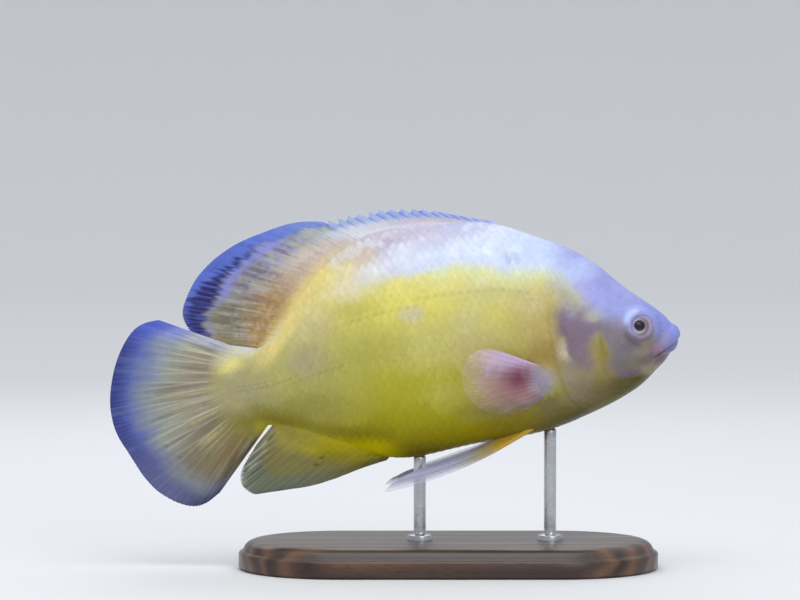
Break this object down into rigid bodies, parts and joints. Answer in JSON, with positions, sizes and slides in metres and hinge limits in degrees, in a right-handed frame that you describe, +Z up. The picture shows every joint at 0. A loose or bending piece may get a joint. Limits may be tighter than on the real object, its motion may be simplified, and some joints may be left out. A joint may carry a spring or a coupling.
{
  "type": "oscar fish",
  "caption": "Life-size still model of a deep-bodied yellow oscar fish swimming nose up with its fins spread, held above an oval base by short rods.",
  "frame": {"origin": "centre of the whole part's box, on the surface that the stand rests on", "axes": "+X the way the fish heads, +Y its left side, +Z up; its own long axis is tipped 7 degrees nose up from +X"},
  "size_m": [0.2796, 0.1, 0.1767],
  "materials": {
    "skin_head": "wet skin, lavender over olive yellow",
    "lips": "wet thick lips, pale lavender",
    "skin_flank": "wet scales, lemon yellow under a whitish blue back",
    "eye": "polished, pale iris around a dark pupil",
    "fin": "wet rayed membrane, yellow to violet blue",
    "fin_clear": "wet thin membrane, translucent pink to lilac",
    "base": "dark satin wood",
    "rod": "brushed"
  },
  "bodies": {
    "root": {"head": "skin_head", "upper_jaw": "lips", "lower_jaw": "lips", "gill_cover_right": "skin_head", "gill_cover_left": "skin_head", "eye_right": "eye", "eye_left": "eye", "trunk": "skin_flank", "tail_stalk": "skin_flank", "dorsal_fin_spiny": "fin", "dorsal_fin_soft": "fin", "anal_fin": "fin", "tail_fin": "fin", "pectoral_fin_right": "fin_clear", "pectoral_fin_left": "fin_clear", "pelvic_fin_right": "fin_clear", "pelvic_fin_left": "fin_clear", "stand_base": "base", "stand_rod_front": "rod", "stand_rod_rear": "rod"}
  },
  "joints": []
}
